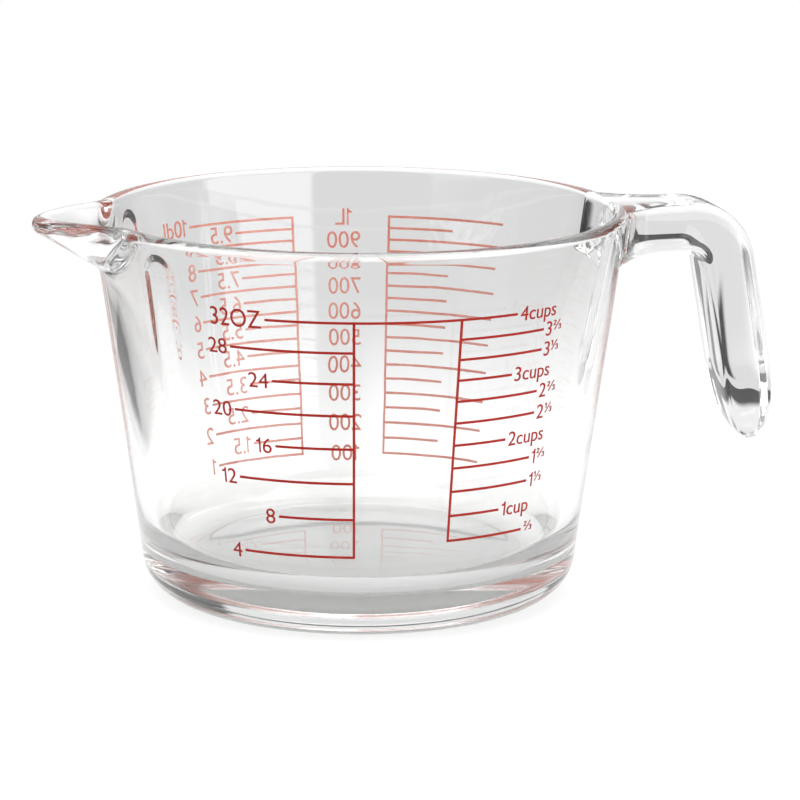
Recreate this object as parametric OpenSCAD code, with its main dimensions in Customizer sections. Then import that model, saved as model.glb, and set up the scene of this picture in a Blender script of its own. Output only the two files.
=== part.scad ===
// Measuring jug of pressed glass with four enamel scales printed on the outside of its wall.
// The base stands on Z = 0 with its centre at the origin. The spout points to -X, the handle to +X.
// Angles round the wall are counted from the front (-Y) towards the handle (+X).

/* [Bowl] */
// Outer diameter at the rim
rim_d = 150; // [135:0.5:165]
// Outer diameter at which the wall's taper meets the base plane
base_d = 120.5; // [110:0.5:130]
// Height from the base to the top of the rim
height = 109.5; // [100:0.5:125]
// Thickness of the wall at its rounded rim
rim_t = 4; // [3:0.1:5.5]
// Thickness of the wall at the floor
foot_t = 5.5; // [4.5:0.1:8]
// Thickness of the glass under the edge of the floor
floor_t = 11.5; // [8:0.5:15]
// Rise of the floor at its middle
floor_rise = 1.5; // [0.25:0.25:4]
// Radius of the heel outside
heel_r = 12; // [6:0.5:15]
// Radius of the heel inside
inner_heel_r = 15; // [8:0.5:20]

/* [Spout] */
// Distance that the tip stands out from the rim
spout_reach = 17; // [15:0.5:28]
// Angle from the spout's middle to where its lip leaves the rim, in degrees
spout_half_angle = 18; // [15:0.5:24]
// Angle over which the tip is rounded, in degrees
spout_round = 4; // [2:0.5:7]
// Slope of the underside, in degrees
spout_slope = 28.5; // [24:0.5:34]
// Thickness of the rounded lip
spout_lip_t = 4.6; // [3.5:0.1:5.5]
// Depth of the channel at the tip
channel_tip_depth = 1.5; // [1:0.1:2.5]
// Depth of the channel where it leaves the bowl
channel_throat_depth = 11; // [8:0.5:12.5]
// Height of the channel's axis above the rim
channel_axis_rise = 4.5; // [2:0.5:8]

/* [Handle] */
// Width of the handle across
handle_w = 22; // [16:0.5:28]
// Thickness of the arm, from its underside to its top
arm_t = 14; // [10:0.5:18]
// Distance of the arm's top below the rim
arm_drop = 0.2; // [0:0.1:3]
// Length of the straight arm from the rim to the bend
arm_reach = 19; // [15:0.5:30]
// Radius of the bend at the middle of the glass
bend_r = 12; // [10:0.5:20]
// Thickness of the grip, from its inside to its outside
grip_t = 15; // [11:0.5:19]
// Length of the grip below the bend
grip_len = 55; // [45:0.5:70]
// Lean of the grip away from the bowl, in degrees
grip_lean = 10; // [4:0.5:14]
// Length over which the grip's end is rounded
grip_end = 23; // [12:0.5:30]
// Extra half width where the arm flares into the wall
root_flare = 7; // [2:0.5:10]
// Distance from the wall over which the flare dies away
root_flare_len = 5; // [3:0.5:9]

/* [Printed scales] */
// Width of a printed line
line_w = 0.7; // [0.4:0.05:1.2]
// Thickness of the enamel
enamel_t = 0.15; // [0.1:0.05:0.3]
// Bare band kept under the rim
bare_band = 12; // [8:0.5:20]
// Angle of the ounce scale's spine
ounce_spine_at = -12.5; // [-18:0.5:-8]
// Angle from the ounce scale's spine to the end of its short lines
ounce_short_at = 18; // [12:0.5:24]
// Angle from the ounce scale's spine to the end of its long lines
ounce_long_at = 27.5; // [25:0.5:36]
// Angle of the cup scale's spine
cup_spine_at = 10.5; // [8:0.5:18]
// Angle from the cup scale's spine to the end of the lines of whole cups
cup_whole_at = 13.5; // [10:0.5:18]
// Angle from the cup scale's spine to the end of the lines of thirds of a cup
cup_third_at = 21.5; // [19:0.5:30]
// Angle of the millilitre scale's spine
millilitre_spine_at = 161.5; // [155:0.5:165]
// Angle from the millilitre scale's spine to the end of the lines of hundreds
millilitre_long_at = 29.5; // [24:0.5:38]
// Angle from the millilitre scale's spine to the end of the lines of fifties
millilitre_short_at = 16; // [10:0.5:22]
// Angle of the decilitre scale's spine
decilitre_spine_at = 185; // [180:0.5:190]
// Angle from the decilitre scale's spine to the end of the lines of whole decilitres
decilitre_long_at = 28.5; // [24:0.5:38]
// Angle from the decilitre scale's spine to the end of the lines of half decilitres
decilitre_short_at = 15; // [10:0.5:22]

/* [Hidden] */

// Gap between the bowl and each piece that sits on its wall
seat_gap = 0.02;
// Gap between a printed spine and the lines that start at it
print_gap = 0.02;
// Depth to which the spout and handle are drawn into the wall before the wall cuts them off
buried = 2;
// Margin by which a cutting shape passes the shape that it cuts
past = 5;
// Facets of a full turn, and steps along a rounded stretch of an outline
turn_facets = 360;
arc_steps = 10;

// Taper and lean of the outer wall
rim_r = rim_d / 2;
taper = (rim_d - base_d) / 2 / height;
lean = atan(taper);

// Circles of the outer heel and of the rounded rim
heel_centre = [base_d / 2 + heel_r * (sin(lean) - 1) / cos(lean), heel_r];
lip_r = rim_t / 2;
rim_centre = [wall_r(height - lip_r) - lip_r / cos(lean), height - lip_r];

// The inner wall runs from the floor's edge and touches the rim's circle
floor_edge = [wall_r(floor_t) - foot_t, floor_t];
to_rim = rim_centre - floor_edge;
inner_lean = 90 - atan2(to_rim.y, to_rim.x) - asin(lip_r / norm(to_rim));
inner_taper = tan(inner_lean);
inner_heel_centre = [
    floor_edge.x + inner_heel_r * (inner_taper - 1 / cos(inner_lean)),
    floor_t + inner_heel_r
];

// Volumes that the inner heel and the risen floor take from a plain cone, in cubic millimetres.
// The glass in the heel's corner has its centroid at this share of the radius from the corner.
corner_centroid = 0.223;
heel_loss = (1 - PI / 4) * inner_heel_r ^ 2 * 2 * PI * (floor_edge.x - corner_centroid * inner_heel_r);
rise_loss = PI * inner_heel_centre.x ^ 2 * floor_rise / 2;
mm3_per_ml = 1000;

// Volumes of the scales' units, in millilitres, and the marks of each scale that fit under the bare band
fluid_ounce = 29.5735;
cup = 8 * fluid_ounce;
full_measure = max(fitting([for (n = [4:4:32]) n * fluid_ounce]));
short_ounce_marks = [for (n = [8:8:24]) if (n * fluid_ounce < full_measure) n * fluid_ounce];
long_ounce_marks = [for (n = [4:8:28]) if (n * fluid_ounce < full_measure) n * fluid_ounce];
cup_marks = [for (n = [1:3]) if (n * cup < full_measure) n * cup];
third_marks = [for (n = [2, 4, 5, 7, 8, 10, 11]) if (n * cup / 3 < full_measure) n * cup / 3];
hundred_marks = fitting([for (v = [100:100:1000]) v]);
fifty_marks = fitting([for (v = [150:100:950]) v]);

// Softness of the bend at which the spout's lip leaves the rim, as a share of the reach
spout_bend = 0.15;
// Angle to which the spout is drawn, as a share of its half angle, and sections from its middle to there
spout_margin = 1.7;
spout_sections = 18;
nose_steps = 4;

// Handle: exponent of its rounded section, points round a section, and sections of each stretch
section_power = 3.4;
section_points = 28;
arm_sections = 8;
bend_sections = 10;
grip_sections = 6;
end_sections = 9;
// Turn over which the rounded end closes, just short of a point
end_sweep = 88;
arm_z = height - arm_drop - arm_t / 2;
bend_x = rim_r + arm_reach;
bend_turn = 90 - grip_lean;

// Angles from the middle of a printed spine to its edge, and to the start of the lines beside it
spine_half_angle = atan(line_w / 2 / wall_r(height / 2));
beside_angle = atan((line_w / 2 + print_gap) / wall_r(height / 2));

// Outer radius of the wall at a height
function wall_r(z) = base_d / 2 + taper * z;

// Height of the liquid's surface for a volume in millilitres, from the volume of a cone's slice
function fill_level(ml) = let (
    solid_cone = 3 * inner_taper * (ml * mm3_per_ml + heel_loss + rise_loss) / PI,
    surface_r = pow(floor_edge.x ^ 3 + solid_cone, 1 / 3)
) floor_t + (surface_r - floor_edge.x) / inner_taper;

// Volumes of a list whose marks lie below the bare band under the rim
function fitting(volumes) = [for (v = volumes) if (fill_level(v) < height - bare_band) v];

// Angle from the spout's middle with its first stretch rounded, as a branch of a hyperbola
function rounded_angle(angle) = sqrt(angle ^ 2 + spout_round ^ 2) - spout_round;

// Share of the spout's reach by which the lip stands out: a straight ramp with a soft bend at its foot
function spout_swing(angle) = let (ramp = 1 - rounded_angle(angle) / rounded_angle(spout_half_angle))
    (ramp + sqrt(ramp ^ 2 + spout_bend ^ 2)) / (1 + sqrt(1 + spout_bend ^ 2));

// Points on an arc of a circle between two angles
function arc(centre, r, from, to, steps) =
    [for (i = [0:steps]) let (a = from + (to - from) * i / steps) centre + r * [cos(a), sin(a)]];

// Triangles of a closed skin over rings of equally many points, with a flat cap on each end
function ring_faces(rings, points) = concat(
    [for (i = [0:rings - 2], j = [0:points - 1])
        [i * points + j, i * points + (j + 1) % points, (i + 1) * points + j]],
    [for (i = [0:rings - 2], j = [0:points - 1])
        [i * points + (j + 1) % points, (i + 1) * points + (j + 1) % points, (i + 1) * points + j]],
    [[for (j = [points - 1:-1:0]) j], [for (j = [0:points - 1]) (rings - 1) * points + j]]
);

// Half outline of the bowl, from the base over the rim and down to the floor
function bowl_outline() = concat(
    [[0, 0]],
    arc(heel_centre, heel_r, -90, -lean, arc_steps),
    arc(rim_centre, lip_r, -lean, 180 - inner_lean, arc_steps),
    arc(inner_heel_centre, inner_heel_r, -inner_lean, -90, arc_steps),
    [for (i = [1:arc_steps]) let (share = 1 - i / arc_steps)
        [inner_heel_centre.x * share, floor_t + floor_rise * (1 - share ^ 2)]]
);

// Solid cone of the outer wall, from below the base to above the rim
module wall_cone() {
    translate([0, 0, -past])
        cylinder(h = height + 2 * past, r1 = wall_r(-past) + seat_gap,
            r2 = wall_r(height + past) + seat_gap, $fn = turn_facets);
}

// Pouring channel: a level cone above the rim that narrows from the bowl to the spout's tip
module channel() {
    tip_x = rim_r + spout_reach;
    throat_x = rim_r - rim_t;
    widening = (channel_throat_depth - channel_tip_depth) / (tip_x - throat_x);
    inner_x = throat_x - channel_throat_depth;
    tip_r = channel_axis_rise + channel_tip_depth - widening * past;
    inner_r = channel_axis_rise + channel_throat_depth + widening * (throat_x - inner_x);
    translate([-tip_x - past, 0, height + channel_axis_rise])
        rotate([0, 90, 0])
            cylinder(h = tip_x + past - inner_x, r1 = tip_r, r2 = inner_r, $fn = turn_facets);
}

module bowl() {
    color([0.86, 0.92, 0.92, 0.45])
        difference() {
            rotate_extrude($fn = turn_facets) polygon(bowl_outline());
            channel();
        }
}

// Section of the spout through the jug's axis at an angle from the spout's middle, as [radius, height]
function spout_section(angle) = let (
    nose_r = spout_lip_t / 2,
    nose = [rim_r + spout_reach * spout_swing(angle) - nose_r, height - nose_r],
    under = nose + nose_r * [sin(spout_slope), -cos(spout_slope)],
    slope = tan(spout_slope),
    foot_z = (under.y - (under.x - base_d / 2 + buried) * slope) / (1 - taper * slope)
) concat(
    [[wall_r(height) - buried, height], [wall_r(foot_z) - buried, foot_z]],
    arc(nose, nose_r, spout_slope - 90, 90, nose_steps)
);

module spout() {
    angles = [for (i = [-spout_sections:spout_sections])
        i * spout_margin * spout_half_angle / spout_sections];
    points = [for (a = angles, p = spout_section(a)) [-p.x * cos(a), p.x * sin(a), p.y]];
    color([0.84, 0.91, 0.92, 0.45])
        difference() {
            polyhedron(points, ring_faces(len(angles), len(spout_section(0))), convexity = 6);
            wall_cone();
            channel();
        }
}

// Stations of the handle from the wall to its end: [x, z, turn from level, half thickness, half width]
function handle_stations() = let (
    root_half_w = handle_w / 2 + root_flare,
    root_x = sqrt(wall_r(arm_z - arm_t / 2) ^ 2 - root_half_w ^ 2) - buried,
    bend_end = [bend_x + bend_r * sin(bend_turn), arm_z - bend_r * (1 - cos(bend_turn))],
    down = [sin(grip_lean), -cos(grip_lean)],
    straight = grip_len - grip_end
) concat(
    [for (i = [0:arm_sections - 1]) let (x = root_x + (bend_x - root_x) * i / arm_sections)
        [x, arm_z, 0, arm_t / 2, handle_w / 2 + root_flare * exp(-max(0, x - rim_r) / root_flare_len)]],
    [for (i = [0:bend_sections]) let (share = i / bend_sections, turn = bend_turn * share)
        [bend_x + bend_r * sin(turn), arm_z - bend_r * (1 - cos(turn)), turn,
            (arm_t + (grip_t - arm_t) * share) / 2, handle_w / 2]],
    [for (i = [1:grip_sections]) let (s = straight * i / grip_sections)
        [bend_end.x + s * down.x, bend_end.y + s * down.y, bend_turn, grip_t / 2, handle_w / 2]],
    [for (i = [1:end_sections]) let (a = end_sweep * i / end_sections, s = straight + grip_end * sin(a))
        [bend_end.x + s * down.x, bend_end.y + s * down.y, bend_turn,
            grip_t / 2 * cos(a), handle_w / 2 * cos(a)]]
);

// Point on the rounded section of a handle station at an angle round it
function handle_point(station, a) = let (
    across = station[4] * sign(cos(a)) * abs(cos(a)) ^ (2 / section_power),
    out = station[3] * sign(sin(a)) * abs(sin(a)) ^ (2 / section_power)
) [station[0] + out * sin(station[2]), across, station[1] + out * cos(station[2])];

module handle() {
    stations = handle_stations();
    points = [for (s = stations, j = [0:section_points - 1]) handle_point(s, 360 * j / section_points)];
    color([0.84, 0.91, 0.92, 0.45])
        difference() {
            polyhedron(points, ring_faces(len(stations), section_points), convexity = 6);
            wall_cone();
        }
}

// Enamel on the wall between two angles and two heights
module enamel(from_angle, to_angle, low, high) {
    start = min(from_angle, to_angle);
    color([0.72, 0.1, 0.1])
        rotate([0, 0, start - 90])
            rotate_extrude(angle = abs(to_angle - from_angle), $fn = turn_facets)
                polygon([
                    [wall_r(low) + seat_gap, low],
                    [wall_r(low) + seat_gap + enamel_t, low],
                    [wall_r(high) + seat_gap + enamel_t, high],
                    [wall_r(high) + seat_gap, high]
                ]);
}

// Upright printed line between two heights
module spine(at, low, high) {
    enamel(at - spine_half_angle, at + spine_half_angle, low, high);
}

// Height of the upper and of the lower edge of the line that marks a volume
function line_top(v) = fill_level(v) + line_w / 2;
function line_foot(v) = fill_level(v) - line_w / 2;

// Level printed lines at some volumes, from beside a spine over an angle to either side
module lines(spine_at, sweep, volumes) {
    start_at = spine_at + sign(sweep) * beside_angle;
    for (v = volumes)
        enamel(start_at, spine_at + sweep, line_foot(v), line_top(v));
}

// The line of the full measure, shared by the ounce and the cup scale
module full_line() {
    enamel(ounce_spine_at - ounce_short_at, cup_spine_at + cup_whole_at,
        line_foot(full_measure), line_top(full_measure));
}

module ounce_spine() {
    spine(ounce_spine_at, line_foot(min(long_ounce_marks)), line_foot(full_measure) - print_gap);
}

module ounce_lines() {
    lines(ounce_spine_at, -ounce_short_at, short_ounce_marks);
    lines(ounce_spine_at, -ounce_long_at, long_ounce_marks);
}

module cup_spine() {
    spine(cup_spine_at, line_foot(min(third_marks)), line_foot(full_measure) - print_gap);
}

module cup_lines() {
    lines(cup_spine_at, cup_whole_at, cup_marks);
}

module third_lines() {
    lines(cup_spine_at, cup_third_at, third_marks);
}

module millilitre_spine() {
    spine(millilitre_spine_at, line_foot(min(hundred_marks)), line_top(max(hundred_marks)));
}

module hundred_lines() {
    lines(millilitre_spine_at, -millilitre_long_at, hundred_marks);
}

module fifty_lines() {
    lines(millilitre_spine_at, -millilitre_short_at, fifty_marks);
}

module decilitre_spine() {
    spine(decilitre_spine_at, line_foot(min(hundred_marks)), line_top(max(hundred_marks)));
}

module decilitre_lines() {
    lines(decilitre_spine_at, decilitre_long_at, hundred_marks);
}

module half_decilitre_lines() {
    lines(decilitre_spine_at, decilitre_short_at, fifty_marks);
}

bowl();
spout();
handle();
full_line();
ounce_spine();
ounce_lines();
cup_spine();
cup_lines();
third_lines();
millilitre_spine();
hundred_lines();
fifty_lines();
decilitre_spine();
decilitre_lines();
half_decilitre_lines();
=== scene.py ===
"""Measuring jug of clear pressed glass with four red enamel scales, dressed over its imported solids.

Lengths are metres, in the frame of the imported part: the base stands on Z = 0 with its centre at the origin,
the spout points to -X and the handle to +X. Angles round the wall are counted from the front (-Y) towards
the handle (+X), as seen from outside from left to right.
"""
import logging
import math
import re
from dataclasses import dataclass
from enum import Enum
from typing import Any

import bmesh
import bpy
import numpy as np
from bpy.types import Material, Mesh, Node, NodeSocket, NodeTree, Object, World
from mathutils import Matrix, Vector


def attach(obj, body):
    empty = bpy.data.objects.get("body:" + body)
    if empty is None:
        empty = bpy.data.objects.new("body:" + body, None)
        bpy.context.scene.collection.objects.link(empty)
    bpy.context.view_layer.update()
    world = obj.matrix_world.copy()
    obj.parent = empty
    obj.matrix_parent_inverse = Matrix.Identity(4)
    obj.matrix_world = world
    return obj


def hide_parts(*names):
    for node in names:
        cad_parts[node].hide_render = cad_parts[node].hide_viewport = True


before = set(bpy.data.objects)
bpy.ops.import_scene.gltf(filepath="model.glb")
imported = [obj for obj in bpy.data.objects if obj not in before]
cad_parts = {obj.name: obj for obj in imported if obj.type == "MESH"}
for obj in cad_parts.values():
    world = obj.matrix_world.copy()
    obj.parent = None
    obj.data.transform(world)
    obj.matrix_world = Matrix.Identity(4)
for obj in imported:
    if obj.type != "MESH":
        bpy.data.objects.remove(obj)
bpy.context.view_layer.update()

log = logging.getLogger("measuring_jug")
MM = 0.001
BODY = "root"
BOUNCES = 40
Colour = tuple[float, float, float, float]
Skin = tuple[np.ndarray, list[tuple[int, ...]]]


class Slot(Enum):
    """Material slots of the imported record."""

    GLASS = "glass"
    ENAMEL = "enamel"


class Run(Enum):
    """Way in which a scale's lines leave its spine, seen from outside."""

    LEFT = -1
    RIGHT = 1


class Shade:
    """A shader socket on which plain arithmetic adds Math nodes."""

    def __init__(self, graph: "Graph", socket: NodeSocket) -> None:
        """Keeps the graph and the socket that holds the value."""
        self.graph = graph
        self.socket = socket

    def math(self, operation: str, *others: "Operand", first: "Operand | None" = None) -> "Shade":
        """Adds one Math node.

        Args:
            operation: The Math node's operation.
            others: Further operands, after this one.
            first: Operand to put before this one, for the reflected forms.

        Returns:
            The node's result.
        """
        operands = [self, *others] if first is None else [first, self]
        inputs = dict(enumerate(operands))
        node = self.graph.add("ShaderNodeMath", {"operation": operation}, inputs)
        return Shade(self.graph, node.outputs[0])

    def __add__(self, other: "Operand") -> "Shade":
        """Sum."""
        return self.math("ADD", other)

    __radd__ = __add__

    def __mul__(self, other: "Operand") -> "Shade":
        """Product."""
        return self.math("MULTIPLY", other)

    __rmul__ = __mul__

    def __sub__(self, other: "Operand") -> "Shade":
        """Difference."""
        return self.math("SUBTRACT", other)

    def __rsub__(self, other: "Operand") -> "Shade":
        """Difference with this value taken away."""
        return self.math("SUBTRACT", first=other)

    def __truediv__(self, other: "Operand") -> "Shade":
        """Quotient."""
        return self.math("DIVIDE", other)

    def __rtruediv__(self, other: "Operand") -> "Shade":
        """Quotient with this value as the divisor."""
        return self.math("DIVIDE", first=other)

    def __abs__(self) -> "Shade":
        """Size without sign."""
        return self.math("ABSOLUTE")

    def either(self, other: "Operand") -> "Shade":
        """The larger of two values."""
        return self.math("MAXIMUM", other)

    def step(self, start: float, end: float) -> "Shade":
        """Smooth step from 0 at start to 1 at end.

        Args:
            start: Value up to which the step is 0.
            end: Value from which the step is 1.

        Returns:
            The step.
        """
        inputs = {"Value": self, "From Min": start, "From Max": end}
        node = self.graph.add("ShaderNodeMapRange", {"interpolation_type": "SMOOTHSTEP"}, inputs)
        return self.graph.value(node, "Result")


Operand = Shade | float


@dataclass
class Graph:
    """Node tree of a material or of the world."""

    tree: NodeTree

    def add(self, kind: str, settings: dict[str, Any] | None = None,
            inputs: dict[str | int, Any] | None = None) -> Node:
        """Adds a node.

        Args:
            kind: The node's type.
            settings: Properties that are set first.
            inputs: Values or links of its sockets, by name or number.

        Returns:
            The new node.
        """
        node = self.tree.nodes.new(kind)
        for name, value in (settings or {}).items():
            setattr(node, name, value)
        for name, value in (inputs or {}).items():
            self.feed(node.inputs[name], value)
        return node

    def feed(self, socket: NodeSocket, value: Any) -> None:
        """Sets a socket's own value, or links a Shade, a socket or a node's first output to it.

        Args:
            socket: The socket to feed.
            value: What feeds it.
        """
        if isinstance(value, Shade):
            value = value.socket
        if isinstance(value, Node):
            value = value.outputs[0]
        if isinstance(value, NodeSocket):
            self.tree.links.new(value, socket)
        else:
            socket.default_value = value

    def value(self, node: Node, output: str) -> Shade:
        """One output of a node as a Shade."""
        return Shade(self, node.outputs[output])

    def place(self) -> NodeSocket:
        """The surface point in Object coordinates."""
        return self.add("ShaderNodeTexCoord").outputs["Object"]

    def noise(self, place: Any, grain: float, detail: float) -> Shade:
        """Smooth noise from 0 to 1.

        Args:
            place: Socket with the point.
            grain: Size of the pattern in metres.
            detail: Octaves of finer pattern.

        Returns:
            The noise value.
        """
        inputs = {"Vector": place, "Scale": 1 / grain, "Detail": detail}
        return self.value(self.add("ShaderNodeTexNoise", inputs=inputs), "Fac")

    def mix_colour(self, factor: Shade, first: Colour, second: Colour) -> NodeSocket:
        """Colour between two, by a factor: sockets 0, 6 and 7 of the Mix node, and its colour output."""
        node = self.add("ShaderNodeMix", {"data_type": "RGBA"}, {0: factor, 6: first, 7: second})
        return node.outputs[2]

    def mix_shader(self, factor: Shade, first: Node, second: Node) -> Node:
        """Shader between two, by a factor."""
        return self.add("ShaderNodeMixShader", inputs={0: factor, 1: first, 2: second})

    def seen_by(self, *kinds: str) -> Shade:
        """1 for rays of any of the named kinds, otherwise 0.

        Args:
            kinds: Outputs of the Light Path node.

        Returns:
            The largest of those outputs.
        """
        path = self.add("ShaderNodeLightPath")
        found = self.value(path, kinds[0])
        for kind in kinds[1:]:
            found = found.either(self.value(path, kind))
        return found

    def finish(self, shader: Node, output: str = "ShaderNodeOutputMaterial",
               volume: Node | None = None) -> None:
        """Links a shader, and one for the inside where there is one, to a new output node."""
        self.add(output, inputs={"Surface": shader} | ({"Volume": volume} if volume else {}))


def new_graph(owner: Material | World) -> Graph:
    """Empties the nodes of a new material or world.

    Args:
        owner: The material or world.

    Returns:
        Its graph.
    """
    owner.use_nodes = True
    owner.node_tree.nodes.clear()
    return Graph(owner.node_tree)


@dataclass(frozen=True)
class PressedGlass:
    """Clear, fire-polished pressed glass with the faint ripple that a mould leaves."""

    tint: Colour = (0.985, 0.988, 0.986, 1.0)
    shadow_tint: Colour = (0.90, 0.905, 0.90, 1.0)
    ior: float = 1.5
    body_colour: Colour = (0.0, 0.03, 0.02, 1.0)
    absorption: float = 1.5
    haze: float = 42 * MM
    most_roughness: float = 0.015
    ripple: float = 14 * MM
    ripple_depth: float = 0.03 * MM

    def material(self) -> Material:
        """Glass for sight and reflection, with a clear shader for shadow and diffuse rays, so light passes.

        Returns:
            The material.
        """
        made = bpy.data.materials.new("pressed_glass")
        graph = new_graph(made)
        place = graph.place()
        wave = graph.noise(place, self.ripple, detail=1.0)
        bump = graph.add("ShaderNodeBump", inputs={"Height": wave, "Distance": self.ripple_depth})
        glass = graph.add("ShaderNodeBsdfPrincipled", inputs={
            "Base Color": self.tint,
            "Transmission Weight": 1.0,
            "IOR": self.ior,
            "Roughness": self.most_roughness * graph.noise(place, self.haze, detail=2.0),
            "Normal": bump,
        })
        clear = graph.add("ShaderNodeBsdfTransparent", inputs={"Color": self.shadow_tint})
        light = graph.seen_by("Is Shadow Ray", "Is Diffuse Ray")
        body = graph.add("ShaderNodeVolumeAbsorption", inputs={
            "Color": self.body_colour,
            "Density": self.absorption,
        })
        graph.finish(graph.mix_shader(light, glass, clear), volume=body)
        return made


@dataclass(frozen=True)
class RedEnamel:
    """Fired red enamel print: even, half gloss, a little paler where the screen left less of it."""

    name: str = "red_enamel"
    full: Colour = (0.35, 0.010, 0.004, 1.0)
    thin: Colour = (0.41, 0.017, 0.009, 1.0)
    specular: float = 0.25
    patch: float = 2.5 * MM
    patch_low: float = 0.35
    patch_high: float = 0.75
    grain: float = 0.25 * MM
    grain_depth: float = 0.01 * MM
    least_roughness: float = 0.28
    roughness_spread: float = 0.2

    def material(self) -> Material:
        """Red print with patchy colour and gloss and a fine grain.

        Returns:
            The material.
        """
        made = bpy.data.materials.new(self.name)
        graph = new_graph(made)
        place = graph.place()
        patchy = graph.noise(place, self.patch, detail=3.0)
        fine = graph.noise(place, self.grain, detail=2.0)
        bump = graph.add("ShaderNodeBump", inputs={"Height": fine, "Distance": self.grain_depth})
        paler = patchy.step(self.patch_low, self.patch_high)
        print_shader = graph.add("ShaderNodeBsdfPrincipled", inputs={
            "Base Color": graph.mix_colour(paler, self.full, self.thin),
            "Roughness": self.least_roughness + self.roughness_spread * patchy,
            "Specular IOR Level": self.specular,
            "Normal": bump,
        })
        graph.finish(print_shader)
        return made


def closed_skin(points: np.ndarray) -> Skin:
    """Closed skin over a grid of rings: quads between rings, and a fan from each end ring to its middle.

    Args:
        points: Array of rings, points round a ring, and 3 coordinates. Rings follow each other so that
            the way round, crossed with the way along, points outwards.

    Returns:
        Vertices and faces.
    """
    rings, around = points.shape[:2]
    poles = np.stack([points[0].mean(0), points[-1].mean(0)])
    vertices = np.concatenate([points.reshape(-1, 3), poles])
    number = np.arange(rings * around).reshape(rings, around)
    turned = np.roll(number, -1, axis=1)
    quads = np.stack([number[:-1], turned[:-1], turned[1:], number[1:]], axis=-1).reshape(-1, 4)
    first = np.full(around, rings * around)
    start = np.stack([first, turned[0], number[0]], axis=-1)
    end = np.stack([first + 1, number[-1], turned[-1]], axis=-1)
    faces = [tuple(f) for group in (quads, start, end) for f in group.tolist()]
    return vertices, faces


def new_piece(name: str, vertices: np.ndarray, faces: list[tuple[int, ...]],
              smooth: bool = True) -> Object:
    """Mesh object at the origin.

    Args:
        name: Name of the piece.
        vertices: Array of points in metres.
        faces: Corner numbers of each face.
        smooth: Whether its faces are shaded smooth.

    Returns:
        The linked object.
    """
    mesh = bpy.data.meshes.new(name)
    mesh.from_pydata(vertices.tolist(), [], faces)
    mesh.polygons.foreach_set("use_smooth", np.full(len(mesh.polygons), smooth))
    mesh.update()
    piece = bpy.data.objects.new(name, mesh)
    bpy.context.scene.collection.objects.link(piece)
    return piece


def dress(piece: Object, material: Material, slot: Slot, *nodes: str) -> None:
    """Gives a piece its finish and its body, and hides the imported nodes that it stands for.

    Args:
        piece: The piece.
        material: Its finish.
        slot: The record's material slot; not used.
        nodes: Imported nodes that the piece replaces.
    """
    piece.data.materials.clear()
    piece.data.materials.append(material)
    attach(piece, BODY)
    if nodes:
        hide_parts(*nodes)
    log.info("%s: %d faces", piece.name, len(piece.data.polygons))


def final_mesh(holder: Object) -> Mesh:
    """Mesh of an object as its modifiers or its letters make it."""
    depsgraph = bpy.context.evaluated_depsgraph_get()
    return bpy.data.meshes.new_from_object(holder.evaluated_get(depsgraph))


def arc_angles(start: Any, end: Any, steps: int) -> np.ndarray:
    """Angles from start to end in equal steps, as rows; start and end may be arrays of columns."""
    share = np.linspace(0, 1, steps + 1)[:, None]
    return np.asarray(start) + (np.asarray(end) - np.asarray(start)) * share


def at_height(plan: np.ndarray, z: Any) -> np.ndarray:
    """Points of a plan, as rows by columns by 2, with their heights, one for each, each row or all."""
    return np.concatenate([plan, np.broadcast_to(z, plan.shape[:-1])[..., None]], axis=-1)


def soft_ramp(x: np.ndarray, bend: float) -> np.ndarray:
    """Ramp max(0, x) with a rounded bend, scaled to 1 at x = 1: (x + sqrt(x^2 + bend^2)) / 2."""
    return (x + np.sqrt(x * x + bend * bend)) / (1 + math.sqrt(1 + bend * bend))


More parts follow.
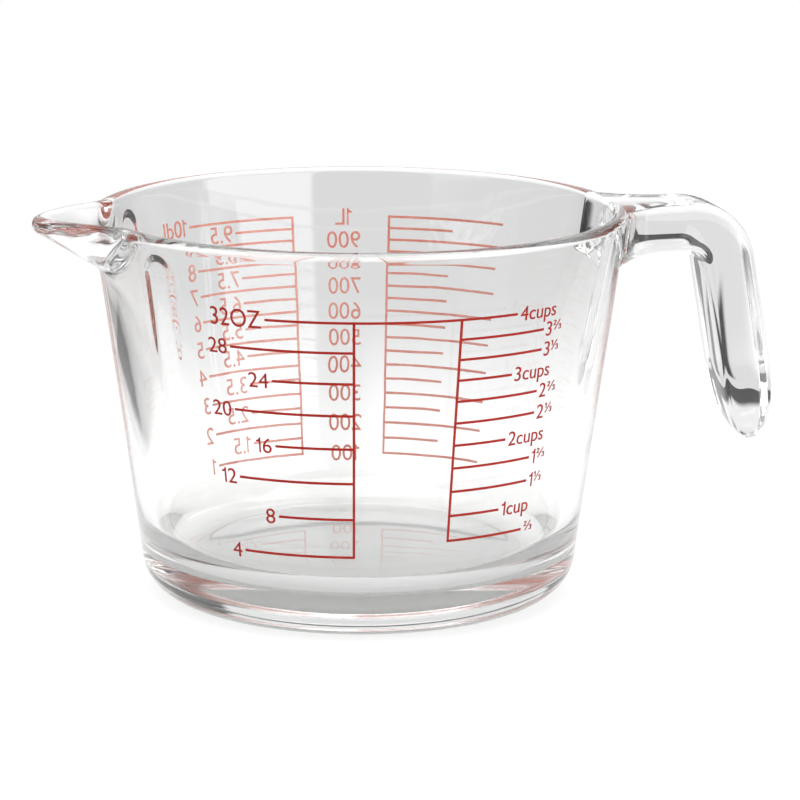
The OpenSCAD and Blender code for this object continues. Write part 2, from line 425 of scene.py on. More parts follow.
@dataclass(frozen=True)
class Bowl:
    """Sizes of the bowl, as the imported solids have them."""

    rim_r: float = 150 / 2 * MM
    base_r: float = 120.5 / 2 * MM
    height: float = 109.5 * MM
    rim_t: float = 4 * MM
    foot_t: float = 5.5 * MM
    floor_t: float = 11.5 * MM
    floor_rise: float = 1.5 * MM
    heel_r: float = 12 * MM
    inner_heel_r: float = 15 * MM

    @property
    def taper(self) -> float:
        """Growth of the outer radius with height."""
        return (self.rim_r - self.base_r) / self.height

    @property
    def lean(self) -> float:
        """Lean of the outer wall from upright."""
        return math.atan(self.taper)

    @property
    def lip_r(self) -> float:
        """Radius of the rounded rim."""
        return self.rim_t / 2

    @property
    def lip_centre(self) -> tuple[float, float]:
        """Radius and height of the middle of the rounded rim."""
        z = self.height - self.lip_r
        return self.wall_r(z) - self.lip_r / math.cos(self.lean), z

    @property
    def heel_centre(self) -> tuple[float, float]:
        """Radius and height of the middle of the outer heel."""
        return self.base_r + self.heel_r * (math.sin(self.lean) - 1) / math.cos(self.lean), self.heel_r

    @property
    def floor_edge(self) -> float:
        """Radius at which the inner wall meets the plane of the floor's edge."""
        return self.wall_r(self.floor_t) - self.foot_t

    @property
    def inner_lean(self) -> float:
        """Lean of the inner wall, which runs from the floor's edge and touches the rounded rim.

        Returns:
            The angle from upright.
        """
        across = self.lip_centre[0] - self.floor_edge
        up = self.lip_centre[1] - self.floor_t
        return math.pi / 2 - math.atan2(up, across) - math.asin(self.lip_r / math.hypot(across, up))

    @property
    def inner_heel_centre(self) -> tuple[float, float]:
        """Radius and height of the middle of the inner heel."""
        shift = math.tan(self.inner_lean) - 1 / math.cos(self.inner_lean)
        return self.floor_edge + self.inner_heel_r * shift, self.floor_t + self.inner_heel_r

    def wall_r(self, z: Any) -> Any:
        """Outer radius of the wall at a height."""
        return self.base_r + self.taper * z

    def inner_r(self, z: Any) -> Any:
        """Inner radius of the wall at a height."""
        return self.floor_edge + math.tan(self.inner_lean) * (z - self.floor_t)

    def fill_level(self, litres: float) -> float:
        """Height of the surface of a filling, from the volume of a cone's slice.

        The inner heel and the risen floor take their volumes from the cone.

        Args:
            litres: Volume of the filling.

        Returns:
            Height above the base.
        """
        corner_centroid = 0.223
        corner = (1 - math.pi / 4) * self.inner_heel_r ** 2
        heel_loss = corner * 2 * math.pi * (self.floor_edge - corner_centroid * self.inner_heel_r)
        rise_loss = math.pi * self.inner_heel_centre[0] ** 2 * self.floor_rise / 2
        taper = math.tan(self.inner_lean)
        cubic_metres = litres * 1e-3 + heel_loss + rise_loss
        surface_r = (self.floor_edge ** 3 + 3 * taper * cubic_metres / math.pi) ** (1 / 3)
        return self.floor_t + (surface_r - self.floor_edge) / taper


@dataclass(frozen=True)
class Spout:
    """Sizes of the pouring spout, a swing of the rim to -X."""

    reach: float = 17 * MM
    half_angle: float = math.radians(18)
    tip_round: float = math.radians(4)
    bend: float = 0.15
    slope: float = math.radians(28.5)
    lip_t: float = 4.6 * MM
    tip_drop: float = 0.4 * MM
    throat_depth: float = 11 * MM
    channel_bend: float = 0.35
    foot_depth: float = 10 * MM
    foot_half_angle: float = math.radians(26)
    foot_bend: float = 0.1
    least_depth: float = 1 * MM
    belly: float = 1.2 * MM
    flute: float = 0.6 * MM
    flute_at: float = math.radians(29.8)
    flute_half_angle: float = math.radians(4.1)
    flute_top: float = 4 * MM
    flute_arch: float = 5 * MM
    flute_len: float = 20 * MM

    def swing(self, angle: np.ndarray) -> np.ndarray:
        """Share of the reach by which the lip stands out at an angle from the spout's middle.

        It is a straight ramp from the tip to the half angle, with the tip rounded as a hyperbola and a soft
        bend at the foot.

        Args:
            angle: Angles in radians.

        Returns:
            Shares from 1 at the tip to nearly 0 away from the spout.
        """
        rounded = np.hypot(angle, self.tip_round) - self.tip_round
        edge = math.hypot(self.half_angle, self.tip_round) - self.tip_round
        return soft_ramp(1 - rounded / edge, self.bend)

    def foot(self, angle: np.ndarray) -> np.ndarray:
        """Depth under the lip at which the spout leaves the wall: depth (1 - (angle / half angle)^4)."""
        share = np.minimum(1, np.abs(angle) / self.foot_half_angle)
        return np.maximum(self.foot_depth * (1 - share ** 4), self.least_depth)

    def fluting(self, angle: np.ndarray, below: np.ndarray) -> np.ndarray:
        """Depth of the two flutes on the inner wall, one on each side of the spout.

        With a = (|angle| - place) / half angle and b the height into the arch over the arch's height, the
        depth is exp(-(a^2 + b^2)^4), and it dies away down the wall as a Gaussian.

        Args:
            angle: Angles from the spout's middle, one for each column.
            below: Distances below the lip, rows by columns.

        Returns:
            Depths, rows by columns.
        """
        aside = (np.abs(angle) - self.flute_at) / self.flute_half_angle
        down = below - self.flute_top - self.flute_arch
        arch = np.maximum(0, -down) / self.flute_arch
        fade = np.exp(-(np.maximum(0, down) / self.flute_len) ** 2)
        return self.flute * np.exp(-(aside ** 2 + arch ** 2) ** 4) * fade

    @property
    def channel_drop(self) -> float:
        """Height that the channel's floor climbs from the throat to the tip."""
        return self.throat_depth - self.tip_drop

    @property
    def channel_slope(self) -> float:
        """Slope of the channel's floor."""
        return math.atan(self.channel_drop / (self.reach + self.tip_drop))


@dataclass(frozen=True)
class Handle:
    """Sizes of the handle: a level arm, a bend and a grip that hangs down to a free end."""

    width: float = 22 * MM
    arm_t: float = 14 * MM
    arm_drop: float = 0.2 * MM
    arm_reach: float = 19 * MM
    bend_r: float = 12 * MM
    grip_t: float = 15 * MM
    grip_len: float = 55 * MM
    grip_lean: float = math.radians(10)
    grip_end: float = 23 * MM
    flare: float = 7 * MM
    flare_len: float = 5 * MM
    under_flare: float = 4 * MM
    under_flare_len: float = 3 * MM
    section_power: float = 5.5
    root_depth: float = 1.8 * MM
    around: int = 72
    arm_rows: int = 40
    arm_grade: float = 1.5
    bend_rows: int = 28
    grip_rows: int = 16
    end_rows: int = 26
    end_gap: float = 0.02

    def stations(self, bowl: Bowl) -> dict[str, np.ndarray]:
        """Stations along the handle, from inside the wall to the free end.

        The arm runs level, the bend is an arc, the grip a straight line, and the end closes as an ellipse.

        Args:
            bowl: The bowl that carries the handle.

        Returns:
            Columns of place (x, z), turn from level and closing factor.
        """
        arm_z = bowl.height - self.arm_drop - self.arm_t / 2
        bend_x = bowl.rim_r + self.arm_reach
        turn = math.pi / 2 - self.grip_lean
        ease = np.linspace(0, 1, self.arm_rows, endpoint=False) ** self.arm_grade
        arm_x = bowl.rim_r - self.root_depth + (self.arm_reach + self.root_depth) * ease
        arc = np.linspace(0, turn, self.bend_rows, endpoint=False)
        straight = np.linspace(0, self.grip_len - self.grip_end, self.grip_rows, endpoint=False)
        close = np.linspace(0, math.pi / 2 - self.end_gap, self.end_rows)
        down = np.concatenate([straight, self.grip_len - self.grip_end + self.grip_end * np.sin(close)])
        corner = (bend_x + self.bend_r * math.sin(turn), arm_z - self.bend_r * (1 - math.cos(turn)))
        return {
            "x": np.concatenate([arm_x, bend_x + self.bend_r * np.sin(arc),
                                 corner[0] + down * math.sin(self.grip_lean)]),
            "z": np.concatenate([np.full(self.arm_rows, arm_z), arm_z - self.bend_r * (1 - np.cos(arc)),
                                 corner[1] - down * math.cos(self.grip_lean)]),
            "turn": np.concatenate([np.zeros(self.arm_rows), arc, np.full(len(down), turn)]),
            "close": np.concatenate([np.ones(self.arm_rows + self.bend_rows + self.grip_rows),
                                     np.cos(close)]),
        }

    def surface(self, bowl: Bowl) -> np.ndarray:
        """Skin of the handle: a rounded section, |a/w|^p + |b/t|^p = 1, carried along the stations.

        Near the wall the section flares out to the sides and downwards by an exponential of the distance
        from the wall, and the rows follow the wall's round and its taper.

        Args:
            bowl: The bowl that carries the handle.

        Returns:
            Grid of rows along the handle, points round a section, and 3 coordinates.
        """
        place = {name: column[:, None] for name, column in self.stations(bowl).items()}
        away = np.maximum(0, place["x"] - bowl.rim_r)
        angle = np.linspace(0, 2 * math.pi, self.around, endpoint=False)[None, :]
        cos, sin = np.cos(angle), np.sin(angle)
        rounded = 2 / self.section_power
        side = np.sign(cos) * np.abs(cos) ** rounded
        out = np.sign(sin) * np.abs(sin) ** rounded
        half_w = self.width / 2 + self.flare * np.exp(-away / self.flare_len)
        thicker = np.clip(place["turn"] / (math.pi / 2 - self.grip_lean), 0, 1)
        half_t = (self.arm_t + (self.grip_t - self.arm_t) * thicker) / 2
        under = self.under_flare * np.exp(-away / self.under_flare_len)
        crown = self.arm_drop * np.exp(-away / self.flare_len)
        across = half_w * side * place["close"]
        rise = (half_t + np.where(out < 0, under, crown)) * out * place["close"]
        x = place["x"] + rise * np.sin(place["turn"])
        z = place["z"] + rise * np.cos(place["turn"])
        near = np.exp(-away / self.flare_len)
        inset = np.sqrt(bowl.rim_r ** 2 - across ** 2) - bowl.rim_r - bowl.taper * (bowl.height - z)
        return np.stack([x + near * inset, -across, z], axis=-1)


@dataclass(frozen=True)
class JugGlass:
    """The glass body: bowl, spout and handle as one pressing."""

    bowl: Bowl = Bowl()
    spout: Spout = Spout()
    handle: Handle = Handle()
    columns: int = 440
    crowding: float = 2.0
    base_rows: int = 6
    heel_rows: int = 16
    wall_rows: int = 66
    lip_rows: int = 20
    row_grade: float = 2.1

    def bowl_surface(self) -> np.ndarray:
        """Skin of the bowl with its spout: an outline of the bowl at each angle round the jug.

        Rows run from the middle of the base over heel, outer wall, rim and inner wall to the middle of the
        floor. The rim's middle line swings out round the spout and sinks to its tip as swing^3. The outer
        wall follows it down to the spout's foot as a soft ramp with a small belly, belly (1 - exp(-ramp /
        bend)) (1 - ramp), which ends at the foot's sides as 1 - (angle / half angle)^6. The inner wall
        follows it along the channel's slope, and two flutes run down it beside the spout. Columns crowd
        towards the spout as a sinh, and the walls' rows towards the rim as a power.

        Returns:
            Grid of rows, columns round the jug, and 3 coordinates.
        """
        bowl, spout = self.bowl, self.spout
        even = np.linspace(-1, 1, self.columns, endpoint=False)
        from_spout = math.pi * np.sinh(self.crowding * even) / math.sinh(self.crowding)
        angle = math.pi + from_spout
        radial = np.stack([np.cos(angle), np.sin(angle)], axis=-1)
        tangent = np.stack([-np.sin(angle), np.cos(angle)], axis=-1)

        swing = spout.swing(from_spout)
        lip_r = bowl.lip_centre[0] + spout.reach * swing
        lip_slope = np.gradient(lip_r, from_spout)
        normal = lip_r[:, None] * radial - lip_slope[:, None] * tangent
        normal /= np.linalg.norm(normal, axis=-1, keepdims=True)
        lip_line = lip_r[:, None] * radial
        lip_z = bowl.lip_centre[1] - spout.tip_drop * swing ** 3

        start = -bowl.lean - (math.pi / 2 - spout.slope - bowl.lean) * swing
        end = math.pi - bowl.inner_lean - (math.pi / 2 - bowl.inner_lean - spout.channel_slope) * swing
        turn = arc_angles(start, end, self.lip_rows)
        thick = bowl.lip_r + (spout.lip_t / 2 - bowl.lip_r) * swing
        lip = at_height(lip_line + (thick * np.cos(turn))[..., None] * normal, lip_z + thick * np.sin(turn))

        share = np.linspace(0, 1, self.wall_rows + 1)[:-1, None]
        heel_turn = arc_angles(-math.pi / 2, -bowl.lean, self.heel_rows)
        heel_top = bowl.heel_centre[1] + bowl.heel_r * math.sin(-bowl.lean)
        top = lip[0]
        z = heel_top + (top[:, 2] - heel_top) * (1 - (1 - share) ** self.row_grade)
        swung = top[:, :2] - bowl.wall_r(top[:, 2])[:, None] * radial
        ramp = 1 - (top[:, 2] - z) / spout.foot(from_spout)
        lead = soft_ramp(ramp, spout.foot_bend)
        belly = spout.belly * (1 - np.exp(-lead / spout.foot_bend)) * (1 - np.clip(ramp, 0, 1))
        belly = belly * np.maximum(0, 1 - (from_spout / spout.foot_half_angle) ** 6)
        outer = at_height((bowl.wall_r(z) + belly)[..., None] * radial + lead[..., None] * swung, z)

        inner_turn = arc_angles(-bowl.inner_lean, -math.pi / 2, self.heel_rows)
        inner_top = bowl.inner_heel_centre[1] + bowl.inner_heel_r * math.sin(-bowl.inner_lean)
        share = np.linspace(0, 1, self.wall_rows + 1)[1:, None]
        top = lip[-1]
        z = top[:, 2] + (inner_top - top[:, 2]) * share ** self.row_grade
        swung = top[:, :2] - bowl.inner_r(top[:, 2])[:, None] * radial
        depth = np.maximum(spout.channel_drop * swing, spout.least_depth)
        below = top[:, 2] - z
        lead = soft_ramp(1 - below / depth, spout.channel_bend)
        hollow = spout.fluting(from_spout, below)
        inner = at_height((bowl.inner_r(z) + hollow)[..., None] * radial + lead[..., None] * swung, z)

        base_r = bowl.heel_centre[0] * np.linspace(0, 1, self.base_rows + 1)[1:-1, None]
        base = at_height(base_r[..., None] * radial, 0.0)
        heel, inner_heel = (
            at_height((r + bend * np.cos(turn))[..., None] * radial, up + bend * np.sin(turn))
            for (r, up), bend, turn in ((bowl.heel_centre, bowl.heel_r, heel_turn),
                                        (bowl.inner_heel_centre, bowl.inner_heel_r, inner_turn)))
        floor_share = np.linspace(1, 0, self.base_rows + 1)[1:-1, None]
        floor = at_height((bowl.inner_heel_centre[0] * floor_share)[..., None] * radial,
                          bowl.floor_t + bowl.floor_rise * (1 - floor_share ** 2))
        return np.concatenate([base, heel, outer[1:], lip, inner[:-1], inner_heel, floor])

    def build(self, finish: PressedGlass) -> None:
        """Joins bowl and handle into one skin and dresses it.

        Args:
            finish: The glass.
        """
        body = new_piece("jug_glass", *closed_skin(self.bowl_surface()))
        grip = new_piece("handle_form", *closed_skin(self.handle.surface(self.bowl)))
        join = body.modifiers.new("join", "BOOLEAN")
        join.operation = "UNION"
        join.solver = "EXACT"
        join.object = grip
        joined = final_mesh(body)
        body.modifiers.clear()
        body.data = joined
        joined.polygons.foreach_set("use_smooth", np.ones(len(joined.polygons), bool))
        joined.update()
        bpy.data.objects.remove(grip)
        dress(body, finish.material(), Slot.GLASS, "bowl", "spout", "handle")


@dataclass(frozen=True)
class Lettering:
    """Plain upright numerals, as flat letters with a little thickness.

    The built-in font's 1 is a bare stem, so a 1 with a flag is drawn here: an outline and its triangles, in
    shares of a numeral's height.
    """

    sample: str = "8"
    curve_steps: int = 5
    depth: float = 0.1
    weld: float = 1e-4
    letter_gap: float = 0.14
    one: tuple[tuple[float, float], ...] = ((0.20, 0.0), (0.31, 0.0), (0.31, 1.0), (0.235, 1.0),
                                            (0.15, 0.86), (0.0, 0.80), (0.0, 0.71), (0.20, 0.71))
    one_cap: tuple[tuple[int, int, int], ...] = ((0, 1, 2), (0, 2, 7), (2, 3, 7),
                                                 (3, 4, 7), (4, 5, 7), (5, 6, 7))

    def letters(self, text: str, height: float) -> tuple[np.ndarray, np.ndarray]:
        """Letters as triangles, from x = 0 and a baseline at y = 0.

        Args:
            text: The words.
            height: Height of a numeral.

        Returns:
            Corners of each triangle as x, y and a side of -1 or 1, and the triangles' corner numbers.
        """
        if text == "1":
            return self.flagged_one(height)
        sample, _ = self.solid(self.sample, 1.0)
        points, corners = self.solid(text, height / float(np.ptp(sample[:, 1])))
        points[:, 2] = np.sign(points[:, 2])
        return points, corners

    def flagged_one(self, height: float) -> tuple[np.ndarray, np.ndarray]:
        """Numeral 1 as a closed prism over its outline.

        Args:
            height: Height of a numeral.

        Returns:
            Corners and triangles, as letters gives them.
        """
        outline = np.array(self.one) * height
        count = len(outline)
        sides = np.repeat([-1.0, 1.0], count)[:, None]
        cap = np.array(self.one_cap)
        here = np.arange(count)
        onward = np.roll(here, -1)
        rim = np.concatenate([np.stack([here, onward, onward + count], axis=-1),
                              np.stack([here, onward + count, here + count], axis=-1)])
        points = np.hstack([np.tile(outline, (2, 1)), sides])
        return points, np.concatenate([cap[:, ::-1], cap + count, rim])

    def solid(self, text: str, size: float) -> tuple[np.ndarray, np.ndarray]:
        """Closed skin of some words at a size, made of triangles.

        Args:
            text: The words.
            size: Size of the type.

        Returns:
            Corners, and the triangles' corner numbers.
        """
        words = bpy.data.curves.new("words", "FONT")
        words.body = text
        words.size = size
        words.extrude = size * self.depth
        words.resolution_u = self.curve_steps
        holder = bpy.data.objects.new("words", words)
        bpy.context.scene.collection.objects.link(holder)
        mesh = final_mesh(holder)
        bpy.data.objects.remove(holder)
        bpy.data.curves.remove(words)
        shape = bmesh.new()
        shape.from_mesh(mesh)
        bmesh.ops.remove_doubles(shape, verts=shape.verts, dist=size * self.weld)
        bmesh.ops.triangulate(shape, faces=shape.faces)
        bmesh.ops.recalc_face_normals(shape, faces=shape.faces)
        shape.to_mesh(mesh)
        shape.free()
        points = np.empty(len(mesh.vertices) * 3)
        mesh.vertices.foreach_get("co", points)
        corners = np.empty(len(mesh.polygons) * 3, int)
        mesh.polygons.foreach_get("vertices", corners)
        bpy.data.meshes.remove(mesh)
        return points.reshape(-1, 3), corners.reshape(-1, 3)


@dataclass(frozen=True)
class Print:
    """Enamel print on the outside of the wall, sunk into the glass a little so that the two touch."""

    bowl: Bowl
    enamel: Material
    type_face: Lettering = Lettering()
    line_w: float = 0.7 * MM
    proud: float = 0.12 * MM
    sunk: float = 0.05 * MM
    step: float = math.radians(1.0)

    def piece(self, name: str, skin: Skin, *nodes: str) -> None:
        """Makes a piece of the print from its skin and dresses it."""
        dress(new_piece(name, *skin, smooth=False), self.enamel, Slot.ENAMEL, *nodes)

    def on_wall(self, angle: np.ndarray, z: np.ndarray, out: np.ndarray) -> np.ndarray:
        """Points at an angle from the front, a height and a distance out of the wall."""
        r = self.bowl.wall_r(z) + out
        return np.stack([r * np.sin(angle), -r * np.cos(angle), z], axis=-1)

    def strip(self, start: float, end: float, low: float, high: float) -> Skin:
        """Strip of enamel between two angles and two heights: a flat box bent round the wall.

        Args:
            start: First angle in radians.
            end: Last angle in radians.
            low: Height of the lower edge.
            high: Height of the upper edge.

        Returns:
            Vertices and faces.
        """
        steps = max(1, math.ceil(abs(end - start) / self.step))
        angle = np.linspace(min(start, end), max(start, end), steps + 1)[:, None]
        z = np.array([[low, high, high, low]])
        out = np.array([[-self.sunk, -self.sunk, self.proud, self.proud]])
        return closed_skin(self.on_wall(*np.broadcast_arrays(angle, z, out)))

    def upright(self, at: float, low: float, high: float) -> Skin:
        """Upright line at an angle between two heights."""
        half = self.line_w / 2 / self.bowl.wall_r((low + high) / 2)
        return self.strip(at - half, at + half, low, high)

    def level(self, start: float, end: float, z: float) -> Skin:
        """Level line between two angles with its middle at a height."""
        return self.strip(start, end, z - self.line_w / 2, z + self.line_w / 2)


@dataclass(frozen=True)
class Word:
    """Stretch of a label: its text, its height and lift as shares of a numeral's, and its widening."""

    text: str
    share: float = 1.0
    lift: float = 0.0
    wide: float = 1.0


@dataclass(frozen=True)
class Lines:
    """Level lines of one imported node: volumes in litres, angle from the spine, and a label for each.

    A row without a node has only its labels, because its line is drawn for two scales at once.
    """

    node: str | None
    litres: tuple[float, ...]
    sweep: float
    labels: tuple[tuple[Word, ...], ...] = ()


@dataclass(frozen=True)
class Scale:
    """One printed scale: a spine, level lines to one side of it, and labels at their ends."""

    name: str
    spine_node: str
    spine_at: float
    run: Run
    rows: tuple[Lines, ...]
    numeral: float = 4 * MM
    label_gap: float = 1.1 * MM
    label_at: float | None = None

    def build(self, pen: Print) -> None:
        """Makes the spine, the lines of each node and the numerals.

        Args:
            pen: The print on the wall.
        """
        levels = [pen.bowl.fill_level(v) for row in self.rows for v in row.litres]
        at = math.radians(self.spine_at)
        half_line = pen.line_w / 2
        spine = pen.upright(at, min(levels) - half_line, max(levels) + half_line)
        pen.piece(f"{self.spine_node}_print", spine, self.spine_node)
        for node in dict.fromkeys(row.node for row in self.rows if row.node):
            strips = [pen.level(at, self.end_of(row), pen.bowl.fill_level(v))
                      for row in self.rows if row.node == node for v in row.litres]
            pen.piece(f"{node}_print", merged(strips), node)
        words = [self.label(pen, row, v, label)
                 for row in self.rows for v, label in zip(row.litres, row.labels)]
        pen.piece(f"{self.name}_numerals", merged(words))

    def end_of(self, row: Lines) -> float:
        """Angle at which a row's lines end, in radians."""
        return math.radians(self.spine_at + self.run.value * row.sweep)

    def label(self, pen: Print, row: Lines, litres: float, words: tuple[Word, ...]) -> Skin:
        """One label, wrapped round the wall beyond the end of its line, or centred beside the spine.

        A letter's x becomes an angle by the wall's radius, its y a height, with the numerals' middle at the
        line's, and its side a distance out of the wall.

        Args:
            pen: The print on the wall.
            row: The row of lines.
            litres: Volume that is labelled.
            words: Stretches of the label, from left to right.

        Returns:
            Vertices and faces.
        """
        parts, pen_x = [], 0.0
        for word, text in ((word, text) for word in words for text in re.findall("1|[^1]+", word.text)):
            points, corners = pen.type_face.letters(text, self.numeral * word.share)
            points[:, 0] *= word.wide
            left, right = points[:, 0].min(), points[:, 0].max()
            points[:, 0] += pen_x - left
            points[:, 1] += self.numeral * (word.lift - 0.5)
            pen_x += right - left + self.numeral * pen.type_face.letter_gap
            parts.append((points, [tuple(c) for c in corners.tolist()]))
        points, faces = merged(parts)
        width = points[:, 0].max()
        if self.label_at is None:
            at = self.end_of(row)
            start = self.label_gap if self.run is Run.RIGHT else -self.label_gap - width
        else:
            at, start = math.radians(self.label_at), -width / 2
        z = pen.bowl.fill_level(litres)
        angle = at + (points[:, 0] + start) / pen.bowl.wall_r(z)
        out = np.where(points[:, 2] > 0, pen.proud, -pen.sunk)
        return pen.on_wall(angle, z + points[:, 1], out), faces


@dataclass(frozen=True)
class FullLine:
    """Line of the full measure, which runs across two scales."""

    left: Scale
    right: Scale
    node: str = "full_line"

    def build(self, pen: Print) -> None:
        """Makes the line from the end of the left scale's last row to that of the right one's.

        Args:
            pen: The print on the wall.
        """
        row = self.left.rows[-1]
        z = pen.bowl.fill_level(row.litres[0])
        line = pen.level(self.left.end_of(row), self.right.end_of(self.right.rows[-1]), z)
        pen.piece(f"{self.node}_print", line, self.node)


def merged(parts: list[Skin]) -> Skin:
    """Several skins as one: vertices in a row, and faces with their numbers moved on.

    Args:
        parts: The skins.

    Returns:
        All their vertices and faces.
    """
    starts = np.cumsum([0] + [len(points) for points, _ in parts]).tolist()
    faces = [tuple(c + start for c in face) for start, (_, group) in zip(starts, parts) for face in group]
    return np.concatenate([points for points, _ in parts]), faces


def plain(*words: Any) -> tuple[tuple[Word, ...], ...]:
    """Labels of one word or number each."""
    return tuple((Word(str(word)),) for word in words)


def ounces(sweep: float, *counts: int) -> Lines:
    """Row of ounce lines, each labelled with its count."""
    return Lines("ounce_lines", tuple(n * OUNCE for n in counts), sweep, plain(*counts))


def thirds(*counts: int) -> tuple[tuple[Word, ...], ...]:
    """Labels of thirds of a cup: a whole number, if there is one, and a small raised fraction."""
    raised = {n: Word(sign, share=0.66, lift=0.32) for n, sign in ((1, "\u2153"), (2, "\u2154"))}
    return tuple(((Word(str(n // 3)),) if n > 2 else ()) + (raised[n % 3],) for n in counts)


# Volumes in litres, and the thirds of a cup that have a line.
OUNCE = 0.0295735
CUP = 8 * OUNCE
HUNDREDS = tuple(n / 10 for n in range(1, 11))
FIFTIES = tuple(n / 10 + 0.05 for n in range(1, 10))
THIRDS = (2, 4, 5, 7, 8, 10, 11)

OUNCE_SCALE = Scale("ounce", "ounce_spine", -12.5, Run.LEFT, (
    ounces(27.5, 4, 12, 20, 28),
    ounces(18.0, 8, 16, 24),
    Lines(None, (32 * OUNCE,), 19.0, ((Word("32OZ", share=1.18, lift=-0.09, wide=0.88),),)),
), numeral=4.25 * MM)
CUP_SCALE = Scale("cup", "cup_spine", 10.5, Run.RIGHT, (
    Lines("cup_lines", (CUP, 2 * CUP, 3 * CUP), 13.5, plain("1cup", "2cups", "3cups")),
    Lines("third_lines", tuple(n * CUP / 3 for n in THIRDS), 21.5, thirds(*THIRDS)),
    Lines(None, (4 * CUP,), 13.5, plain("4cups")),
), numeral=4.05 * MM)
MILLILITRE_SCALE = Scale("millilitre", "millilitre_spine", 161.5, Run.LEFT, (
    Lines("hundred_lines", HUNDREDS, 29.5, plain(*range(100, 1000, 100), "1L")),
    Lines("fifty_lines", FIFTIES, 16.0),
), numeral=5 * MM, label_at=172.5)
DECILITRE_SCALE = Scale("decilitre", "decilitre_spine", 185.0, Run.RIGHT, (
    Lines("decilitre_lines", HUNDREDS, 28.5, plain(*range(1, 10), "10dl")),
    Lines("half_decilitre_lines", FIFTIES, 15.0, plain(*(n + 0.5 for n in range(1, 10)))),
), numeral=5 * MM)
BACK_ENAMEL = RedEnamel("thin_red_enamel", full=(0.76, 0.25, 0.19, 1.0), thin=(0.82, 0.33, 0.26, 1.0),
                        specular=0.5)


@dataclass(frozen=True)
class PhotoCamera:
    """Camera at the photograph's viewing angle, in a square picture."""

    azimuth: float = math.radians(-11.4)
    elevation: float = math.radians(12.58)
    distance: float = 1.0134
    target: tuple[float, float, float] = (0.0, 0.0, 0.0548)
    lens: float = 160.92
    shift: tuple[float, float] = (0.0512, -0.0034)
    roll: float = math.radians(0.206)

    def build(self) -> None:
        """Adds the camera and makes it the scene's."""
        level = math.cos(self.elevation)
        back = Vector((math.sin(self.azimuth) * level, -math.cos(self.azimuth) * level,
                       math.sin(self.elevation)))
        data = bpy.data.cameras.new("photo_camera")
        data.lens = self.lens
        data.shift_x, data.shift_y = self.shift
        camera = bpy.data.objects.new("photo_camera", data)
        camera.rotation_mode = "QUATERNION"
        camera.location = Vector(self.target) + self.distance * back
        turn = (-back).to_track_quat("-Z", "Y").to_matrix().to_4x4() @ Matrix.Rotation(self.roll, 4, "Z")
        camera.rotation_quaternion = turn.to_quaternion()
        bpy.context.scene.collection.objects.link(camera)
        bpy.context.scene.camera = camera


@dataclass(frozen=True)
class Softbox:
    """Bright panel of the studio, as a rectangle of directions in the world."""

    azimuth: float
    elevation: float
    half_width: float
    half_height: float
    strength: float
    edge: float = 0.06
    least_ahead: float = 0.01
    full_ahead: float = 0.05

    def light(self, ray: list[Shade]) -> Shade:
        """Brightness of the panel along a ray, from the ray's slopes across and up from the panel's middle.

        Args:
            ray: The three parts of the ray's direction.

        Returns:
            The panel's brightness, 0 outside it.
        """
        a, e = math.radians(self.azimuth), math.radians(self.elevation)
        middle = (math.sin(a) * math.cos(e), -math.cos(a) * math.cos(e), math.sin(e))
        across = (math.cos(a), math.sin(a), 0.0)
        up = tuple(np.cross(middle, across) * -1)
        ahead = self.along(ray, middle)
        safe = ahead.either(self.least_ahead)
        wide = abs(self.along(ray, across) / safe)
        high = abs(self.along(ray, up) / safe)
        inside = 1 - wide.step(self.half_width, self.half_width + self.edge)
        inside = inside * (1 - high.step(self.half_height, self.half_height + self.edge))
        return inside * ahead.step(0.0, self.full_ahead) * self.strength

    @staticmethod
    def along(ray: list[Shade], direction: tuple[float, ...]) -> Shade:
        """Part of a ray along a direction: the sum of the products of their parts."""
        return ray[0] * direction[0] + ray[1] * direction[1] + ray[2] * direction[2]


@dataclass(frozen=True)
class DarkCard:
    """Dark card that lies on the table outside the picture and draws the edges of the glass."""

    low: tuple[float, float]
    high: tuple[float, float]
    edge: float = 0.02
    cover: float = 1.0

    def mask(self, x: Shade, y: Shade) -> Shade:
        """The card's cover on it and 0 off it, with a soft edge.

        Args:
            x: The table's first coordinate.
            y: Its second one.

        Returns:
            The share of the card that shows.
        """
        soft = self.edge
        inside = [side.step(low - soft, low + soft) * (1 - side.step(high - soft, high + soft))
                  for side, low, high in zip((x, y), self.low, self.high)]
        return inside[0] * inside[1] * self.cover


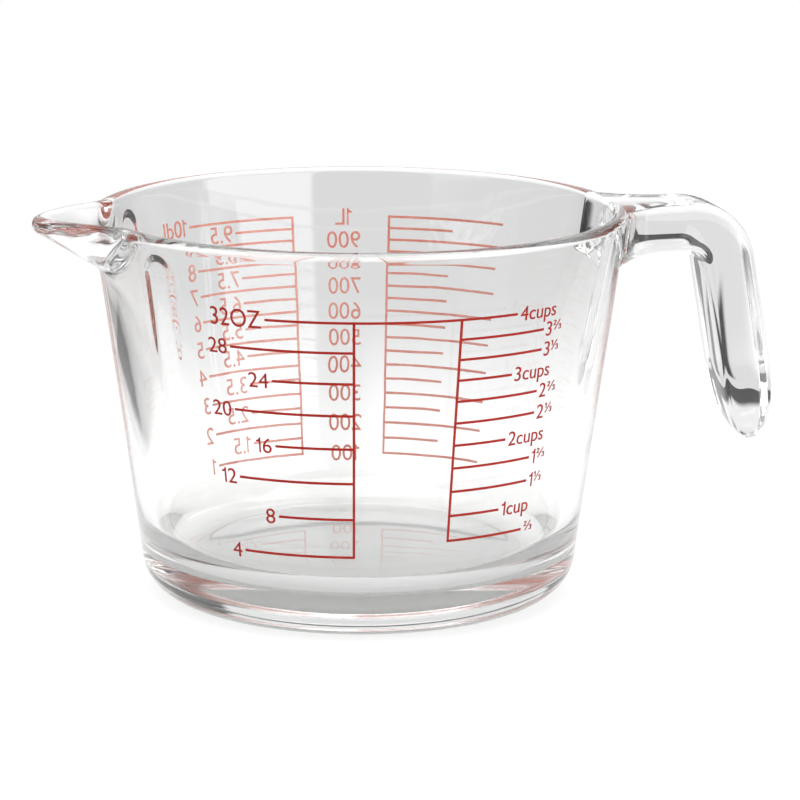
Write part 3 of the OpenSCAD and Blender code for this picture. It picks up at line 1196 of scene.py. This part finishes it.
@dataclass(frozen=True)
class Studio:
    """White table and backdrop, a dim room in front of the jug, and soft panels round it."""

    table_r: float = 0.9
    table_sides: int = 96
    shade_near: float = 0.14
    shade_far: float = 0.42
    # Painted shadow under the jug's foot, seen only through the glass: it darkens the table by foot_shade
    # inside foot_near and fades out by foot_far.
    foot_shade: float = 0.25
    foot_near: float = 0.045
    foot_far: float = 0.075
    table_colour: Colour = (0.94, 0.94, 0.94, 1.0)
    white: Colour = (1.0, 1.0, 1.0, 1.0)
    through_glass: float = 0.77
    room: float = 0.07
    panels: tuple[Softbox, ...] = (
        Softbox(azimuth=180, elevation=28, half_width=0.75, half_height=0.4, strength=0.9, edge=0.1),
        Softbox(azimuth=38, elevation=14, half_width=0.48, half_height=0.5, strength=2.6),
        Softbox(azimuth=-60, elevation=35, half_width=0.25, half_height=0.5, strength=1.5),
        Softbox(azimuth=0, elevation=89, half_width=0.5, half_height=0.5, strength=3.0, edge=0.1),
    )
    cards: tuple[DarkCard, ...] = (
        DarkCard((0.275, 0.25), (0.43, 0.45), edge=0.03),
        DarkCard((-0.22, 0.08), (-0.13, 0.26), edge=0.01, cover=0.85),
        DarkCard((-0.10, -0.22), (-0.03, -0.11)),
    )
    # Brightness of the dark cards and of the painted shadow under the foot, as seen through the glass.
    card_level: float = 0.03

    def build(self) -> None:
        """Adds the world and the table."""
        self.build_world()
        self.build_table()

    def glow(self, graph: Graph, level: Operand, kind: str = "ShaderNodeEmission") -> Node:
        """White light at a level, as an emission or a background."""
        return graph.add(kind, inputs={"Color": self.white, "Strength": level})

    def build_world(self) -> None:
        """World: plain white to the camera, and the studio's directions to every other ray."""
        world = bpy.data.worlds.new("studio")
        bpy.context.scene.world = world
        graph = new_graph(world)
        direction = graph.add("ShaderNodeTexCoord").outputs["Generated"]
        parts = graph.add("ShaderNodeSeparateXYZ", inputs={0: direction})
        ray = [graph.value(parts, axis) for axis in "XYZ"]
        level = self.panels[0].light(ray).either(self.room)
        for panel in self.panels[1:]:
            level = level.either(panel.light(ray))
        camera = graph.seen_by("Is Camera Ray")
        plain = self.glow(graph, 1.0, "ShaderNodeBackground")
        studio = self.glow(graph, level, "ShaderNodeBackground")
        graph.finish(graph.mix_shader(camera, studio, plain), "ShaderNodeOutputWorld")

    def build_table(self) -> None:
        """Round white table that keeps the jug's soft shadow near it and is plain white farther out; through
        the glass it also shows a painted shadow under the jug's foot and the dark cards.
        """
        turn = np.linspace(0, 2 * math.pi, self.table_sides, endpoint=False)
        edge = np.stack([self.table_r * np.cos(turn), self.table_r * np.sin(turn), 0 * turn], axis=-1)
        table = new_piece("table", edge, [tuple(range(len(turn)))])
        made = bpy.data.materials.new("white_table")
        graph = new_graph(made)
        parts = graph.add("ShaderNodeSeparateXYZ", inputs={0: graph.place()})
        x, y = graph.value(parts, "X"), graph.value(parts, "Y")
        away = (x * x + y * y).math("SQRT")
        camera = graph.seen_by("Is Camera Ray")
        glass = graph.seen_by("Is Glossy Ray", "Is Transmission Ray")
        far = away.step(self.shade_near, self.shade_far) * camera.either(glass)
        lit = graph.add("ShaderNodeBsdfDiffuse", inputs={"Color": self.table_colour})
        plain = graph.mix_shader(camera, self.glow(graph, self.through_glass), self.glow(graph, 1.0))
        white = graph.mix_shader(far, lit, plain)
        # Painted shadow under the jug's foot, seen only through the glass, joined with the dark cards.
        painted_shade_and_cards = (1 - away.step(self.foot_near, self.foot_far)) * self.foot_shade
        for other in self.cards:
            painted_shade_and_cards = painted_shade_and_cards.either(other.mask(x, y))
        graph.finish(graph.mix_shader(painted_shade_and_cards * glass, white, self.glow(graph, self.card_level)))
        table.data.materials.append(made)


def main() -> None:
    """Builds camera, studio, glass and scales in order."""
    logging.basicConfig(level=logging.INFO, format="%(name)s: %(message)s")
    scene = bpy.context.scene
    scene.view_settings.view_transform = "Standard"
    for limit in ("max_bounces", "transmission_bounces", "glossy_bounces"):
        setattr(scene.cycles, limit, BOUNCES)
    PhotoCamera().build()
    Studio().build()
    glass = JugGlass()
    glass.build(PressedGlass())
    front = (OUNCE_SCALE, CUP_SCALE, FullLine(OUNCE_SCALE, CUP_SCALE))
    back = (MILLILITRE_SCALE, DECILITRE_SCALE)
    for enamel, marks in ((RedEnamel(), front), (BACK_ENAMEL, back)):
        pen = Print(glass.bowl, enamel.material())
        for mark in marks:
            mark.build(pen)


if __name__ == "__main__":
    main()
